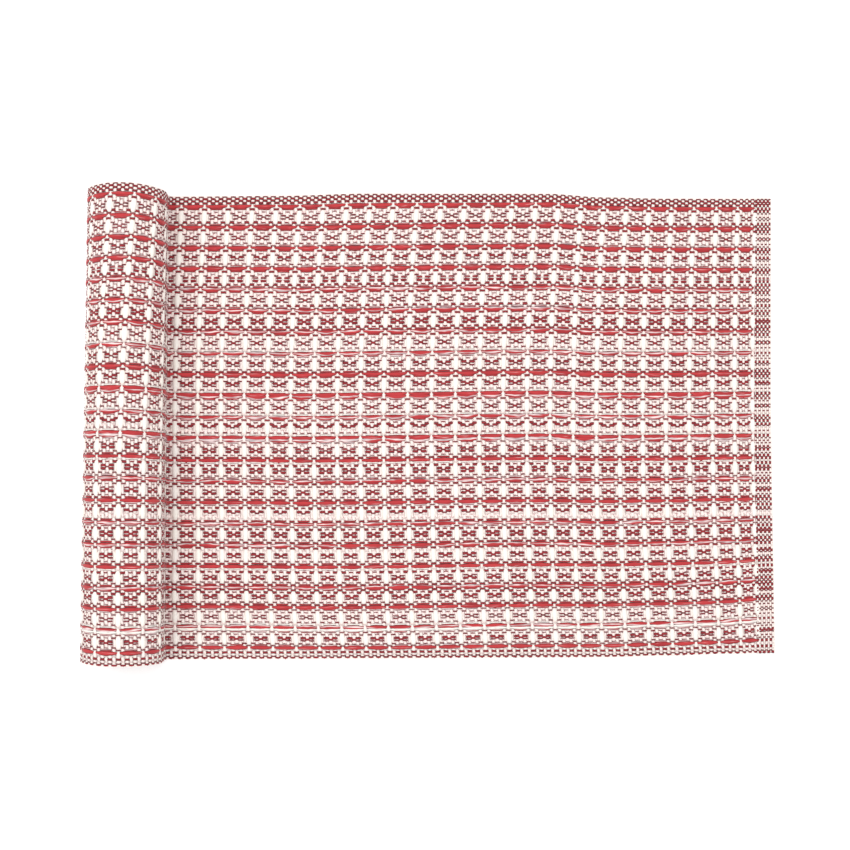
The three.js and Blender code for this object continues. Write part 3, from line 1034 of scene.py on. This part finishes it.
class RunnerColours(bpy.types.PropertyGroup):
    """Colours of the yarns and of the floor."""

    red: colour_setting("Red", "Red yarn where it floats", (0.50, 0.042, 0.047))
    # Painted shade: a shaded copy of the red, for where the yarn lies low and is bound in
    red_painted_shade: colour_setting("Dark Red", "Red yarn where it is bound in", (0.20, 0.016, 0.026))
    pale_red: colour_setting("Pale Red", "Pale strands of the mixed ply", (0.90, 0.74, 0.72))
    natural: colour_setting("Natural", "Undyed yarn", (0.895, 0.872, 0.82))
    # Painted shade: a pinkish shaded copy of the natural, for where the yarn lies low and is bound in
    natural_shade: colour_setting("Natural Shade", "Undyed yarn where it is bound in", (0.93, 0.77, 0.74))
    natural_grey: colour_setting("Natural Grey", "Grey strands of undyed yarn", (0.52, 0.46, 0.46))
    ground_red: colour_setting("Ground Red", "Warp inside the weave", (0.55, 0.32, 0.32))
    floor: colour_setting("Floor", "Pale studio floor", (0.93, 0.93, 0.93))


class RunnerStage(bpy.types.PropertyGroup):
    """Camera and light."""

    camera_height: bpy.props.FloatProperty(
        name="Camera Height",
        description="Height of the camera above the table",
        default=1.215,
        min=0.3,
        unit="LENGTH",
    )
    lens: bpy.props.FloatProperty(
        name="Lens",
        description="Focal length of the camera",
        default=72.2,
        min=10.0,
        unit="CAMERA",
    )
    key_power: bpy.props.FloatProperty(
        name="Key Power",
        description="Power of the large soft light, in watts",
        default=16.0,
        min=0.0,
        unit="POWER",
    )
    floor_glow: bpy.props.FloatProperty(
        name="Floor Glow",
        description="Light that the translucent floor gives off",
        default=0.14,
        min=0.0,
    )
    sky: bpy.props.FloatProperty(
        name="Sky",
        description="Strength of the even light from all around",
        default=0.90,
        min=0.0,
    )


class RUNNER_OT_ground(bpy.types.Operator):
    """Make the ground of the cloth, the closed sheet that the yarns lie on"""

    bl_idname = "runner.ground"
    bl_label = "Cloth Ground"

    def execute(self, context):
        places = ground_places()
        half = HALF_WIDTH - GROUND_INSET
        columns = np.linspace(-half, half, GROUND_COLUMNS)
        along, across = np.meshgrid(places, columns, indexing="ij")
        inside = smooth(FINE_LENGTH - 30.0, FINE_LENGTH, along)
        hem = 1 - smooth(HEM_WIDTH - 0.5, HEM_WIDTH + 0.6, along)
        face = 0.1 + 0.5 * inside + 0.25 * hem
        reverse = -0.95 + 0.3 * inside
        bent = bowed(along, across)
        bent = np.where((along < HEM_WIDTH) | (along > BOW_ENDS), along, bent)
        layers = [lie(bent, across, side)[0] for side in (face, reverse)]
        rows, width = along.shape
        points = np.concatenate([layer.reshape(-1, 3) for layer in layers]) / METRE
        index = np.arange(rows * width).reshape(rows, width)
        a, b, c, d = index[:-1, :-1], index[:-1, 1:], index[1:, 1:], index[1:, :-1]
        top = np.stack((a, b, c, d), axis=-1).reshape(-1, 4)
        bottom = top[:, ::-1] + rows * width
        rim = np.concatenate((index[0, :-1], index[:-1, -1], index[-1, :0:-1], index[:0:-1, 0]))
        following = np.roll(rim, -1)
        wall = np.stack((following, rim, rim + rows * width, following + rows * width), axis=-1)
        faces = np.concatenate((top, bottom, wall))
        mesh = bpy.data.meshes.new("cloth_ground")
        mesh.from_pydata(points.tolist(), [], faces.tolist())
        cloth = mesh.uv_layers.new(name="Cloth")
        bake = mesh.uv_layers.new(name="OFBake")
        loops = np.zeros(len(mesh.loops), dtype=np.int32)
        mesh.loops.foreach_get("vertex_index", loops)
        flat_along = np.tile(along.ravel(), 2)[loops]
        flat_across = np.tile(across.ravel(), 2)[loops]
        below = loops >= rows * width
        cloth.data.foreach_set("uv", (np.stack((flat_along, flat_across), axis=1) / METRE).ravel())
        share_u = np.where(below, 0.5, 0.0) + 0.49 * (flat_across + HALF_WIDTH) / CLOTH_WIDTH
        bake.data.foreach_set("uv", np.stack((share_u, flat_along / CLOTH_LENGTH), axis=1).ravel())
        mesh.shade_smooth()
        piece = bpy.data.objects.new("cloth_ground", mesh)
        context.collection.objects.link(piece)
        mesh.materials.append(material_of("cloth_ground"))
        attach(piece, BODY)
        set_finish(piece, "woven_cloth")
        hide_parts(SOLID)
        return {"FINISHED"}


class RUNNER_OT_warp(bpy.types.Operator):
    """Make the ends, the yarns that run along the runner"""

    bl_idname = "runner.warp"
    bl_label = "Warp Ends"

    def execute(self, context):
        weave = context.scene.runner_weave
        chance = np.random.default_rng(weave.seed)
        parts = {"flat": (0, FLAT_PICKS), "roll": (FLAT_PICKS, COLUMNS * PICKS_A_CELL)}
        for group, ends in warp_groups().items():
            sides = 8 if group == "long_red_floats" else 4
            for part, (first, last) in parts.items():
                yarns = Yarns()
                for end in ends:
                    end_yarn(yarns, weave, end, first, last + 1, chance)
                weave_piece(group + "_" + part, yarns, group == "natural_ends", sides)
        return {"FINISHED"}


class RUNNER_OT_weft(bpy.types.Operator):
    """Make the picks, the thick natural yarns that run across the runner"""

    bl_idname = "runner.weft"
    bl_label = "Weft Picks"

    def execute(self, context):
        weave = context.scene.runner_weave
        chance = np.random.default_rng(weave.seed + 1)
        ends = warp_ends()
        all_picks = range(COLUMNS * PICKS_A_CELL)
        groups = {"thick_picks": [p for p in all_picks if p % PICKS_A_CELL == 0]}
        for number, group in enumerate(("picks_beside_hem", "picks_beside_roll", "picks_of_roll")):
            groups[group] = [p for p in all_picks if p % PICKS_A_CELL and p // PICKS_A_PIECE == number]
        for group, picks in groups.items():
            yarns = Yarns()
            for pick in picks:
                pick_yarn(yarns, weave, pick, ends, chance)
            sides = 6 if group == "thick_picks" else 4
            weave_piece(group, yarns, True, sides, crosswise=True)
        return {"FINISHED"}


class RUNNER_OT_hem(bpy.types.Operator):
    """Make the hem, a narrow band of fine plain weave"""

    bl_idname = "runner.hem"
    bl_label = "Hem"

    def execute(self, context):
        weave = context.scene.runner_weave
        chance = np.random.default_rng(weave.seed + 2)
        ends = warp_ends()
        places = HEM_FIRST_PICK + HEM_PICK_PITCH * np.arange(HEM_PICKS)
        end_chance, closing_chance = HEM_CHANCES
        groups = {False: Yarns(), True: Yarns()}
        for number, end in enumerate(ends):
            kind = KINDS[end.kind]
            along = np.linspace(0.0, HEM_WIDTH + HEM_OVERLAP, 3 * HEM_PICKS + 1)
            turn = (along - HEM_FIRST_PICK) / HEM_PICK_PITCH + number
            level = np.cos(np.pi * turn)
            across = end.across + band_drift(along, end.across) + chance.normal(0.0, end_chance, len(along))
            wide = max(kind.dash * 1.4 - 0.4, 0.46) * (0.92 + 0.08 * level)
            # Painted light: lighter where the end rises over a pick, painted shade where it dips
            painted_light_and_tone = kind.bright * (0.7 + 0.3 * level)
            lift = HEM_LIFT[kind.natural] + HEM_END_SWING * level
            place = along * hem_share(across)
            groups[kind.natural].add(place, across, lift, wide, HEM_END_THICK, painted_light_and_tone, kind.pale)
        weave_piece("hem_red_ends", groups[False], False, 4)
        weave_piece("hem_natural_ends", groups[True], True, 4)
        picks = Yarns()
        spread = np.array([end.across for end in ends])
        for pick, place in enumerate(places):
            level = -np.cos(np.pi * (pick + np.arange(len(ends))))
            across = spread + band_drift(place, spread)
            picks.add(place * hem_share(across), across, 0.40 + 0.32 * level, *HEM_PICK, 0.6, 0.0)
        half = HALF_WIDTH - HEM_INSET
        across = np.linspace(half, -half, 160)
        edge = HEM_WIDTH * hem_share(across) + 0.1 + chance.normal(0.0, closing_chance, len(across))
        picks.add(edge, across, 0.35, *HEM_CLOSING_PICK, 0.8, 0.0)
        across = np.linspace(half, -half, 100)
        picks.add(0.1, across, 0.1, *HEM_TURN, 0.7, 0.0)
        weave_piece("hem_picks", picks, True, 6, crosswise=True)
        return {"FINISHED"}


class RUNNER_OT_edges(bpy.types.Operator):
    """Make the turns of the picks at both long edges, and the selvedge ends inside the roll"""

    bl_idname = "runner.edges"
    bl_label = "Edge Turns"

    def execute(self, context):
        weave = context.scene.runner_weave
        chance = np.random.default_rng(weave.seed + 3)
        turns = Yarns()
        along = np.arange(0.5, CLOTH_LENGTH, TURN_STEP)
        for side in (1.0, -1.0):
            bead = 0.5 + 0.5 * np.cos(np.pi * along / PICK_PITCH)
            across = side * (HALF_WIDTH - 0.25 + 0.2 * bead)
            # Painted light: lighter where the turn bulges out
            painted_light_and_tone = 0.45 + 0.3 * bead + chance.normal(0.0, 0.05, len(along))
            turns.add(along, across, 0.0, 0.42 + 0.15 * bead, 0.55 + 0.25 * bead, painted_light_and_tone, 0.0)
        weave_piece("edge_turns", turns, True, 6)
        inner = Yarns()
        along = np.arange(FINE_LENGTH - 6.0, CLOTH_LENGTH - 1.0, PICK_PITCH)
        for number, (across, _, _) in enumerate(FAR_SELVEDGE[:3] + NEAR_SELVEDGE[2:]):
            for side in (1.0, -1.0):
                level = side * np.cos(np.pi * (along / PICK_PITCH + number))
                # Painted light: lighter where the end rises, painted shade where it dips
                inner.add(along, across, side * 0.62 + 0.2 * level, 0.5, 0.36, 0.3 + 0.2 * level, 0.0)
        weave_piece("inner_selvedge_ends", inner, False, 4)
        return {"FINISHED"}


class RUNNER_OT_stage(bpy.types.Operator):
    """Make the floor, the lights and the camera"""

    bl_idname = "runner.stage"
    bl_label = "Stage"

    def execute(self, context):
        scene = context.scene
        stage = scene.runner_stage
        mesh = bpy.data.meshes.new("floor")
        half = FLOOR_SIZE / 2
        corners = [(-half, -half, 0.0), (half, -half, 0.0), (half, half, 0.0), (-half, half, 0.0)]
        mesh.from_pydata(corners, [], [(0, 1, 2, 3)])
        floor = bpy.data.objects.new("floor", mesh)
        context.collection.objects.link(floor)
        pale = Finish("pale_floor")
        settings = {
            "Base Color": (*scene.runner_colours.floor, 1.0),
            "Roughness": 0.9,
            "Specular IOR Level": 0.1,
            "Emission Color": (*WHITE, 1.0),
            "Emission Strength": stage.floor_glow,
        }
        for name, value in settings.items():
            pale.shader.inputs[name].default_value = value
        mesh.materials.append(pale.material)
        world = bpy.data.worlds.new("Studio")
        world.use_nodes = True
        background = world.node_tree.nodes["Background"]
        background.inputs["Color"].default_value = (*WHITE, 1.0)
        background.inputs["Strength"].default_value = stage.sky
        scene.world = world
        key_data = bpy.data.lights.new("Key", "AREA")
        key_data.shape = "SQUARE"
        key_data.size = KEY_SIZE
        key_data.energy = stage.key_power
        key = bpy.data.objects.new("Key", key_data)
        key.location = KEY_PLACE
        key.rotation_euler = (-Vector(KEY_PLACE)).to_track_quat("-Z", "Y").to_euler()
        context.collection.objects.link(key)
        camera_data = bpy.data.cameras.new("Camera")
        camera_data.lens = stage.lens
        camera_data.sensor_width = SENSOR_WIDTH
        camera = bpy.data.objects.new("Camera", camera_data)
        camera.location = (*CAMERA_PLACE, stage.camera_height)
        context.collection.objects.link(camera)
        scene.camera = camera
        scene.view_settings.view_transform = "Standard"
        return {"FINISHED"}


OPERATORS = (
    RUNNER_OT_ground,
    RUNNER_OT_warp,
    RUNNER_OT_weft,
    RUNNER_OT_hem,
    RUNNER_OT_edges,
    RUNNER_OT_stage,
)


class RUNNER_PT_sidebar(bpy.types.Panel):
    """Sizes, colours and the makers of each piece"""

    bl_idname = "RUNNER_PT_sidebar"
    bl_label = "Table Runner"
    bl_space_type = "VIEW_3D"
    bl_region_type = "UI"
    bl_category = "Runner"

    def draw(self, context):
        layout = self.layout
        for group in SETTINGS:
            settings = getattr(context.scene, group)
            box = layout.box()
            for name in settings.__annotations__:
                box.prop(settings, name)
        for operator in OPERATORS:
            layout.operator(operator.bl_idname)


SETTINGS = {"runner_weave": RunnerWeave, "runner_colours": RunnerColours, "runner_stage": RunnerStage}
CLASSES = (*SETTINGS.values(), *OPERATORS, RUNNER_PT_sidebar)


def register():
    for cls in CLASSES:
        bpy.utils.register_class(cls)
    for name, cls in SETTINGS.items():
        setattr(bpy.types.Scene, name, bpy.props.PointerProperty(type=cls))


def unregister():
    for name in SETTINGS:
        delattr(bpy.types.Scene, name)
    for cls in reversed(CLASSES):
        bpy.utils.unregister_class(cls)


def main():
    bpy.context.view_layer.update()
    register()
    for piece in ("ground", "warp", "weft", "hem", "edges", "stage"):
        getattr(bpy.ops.runner, piece)()


if __name__ == "__main__":
    main()
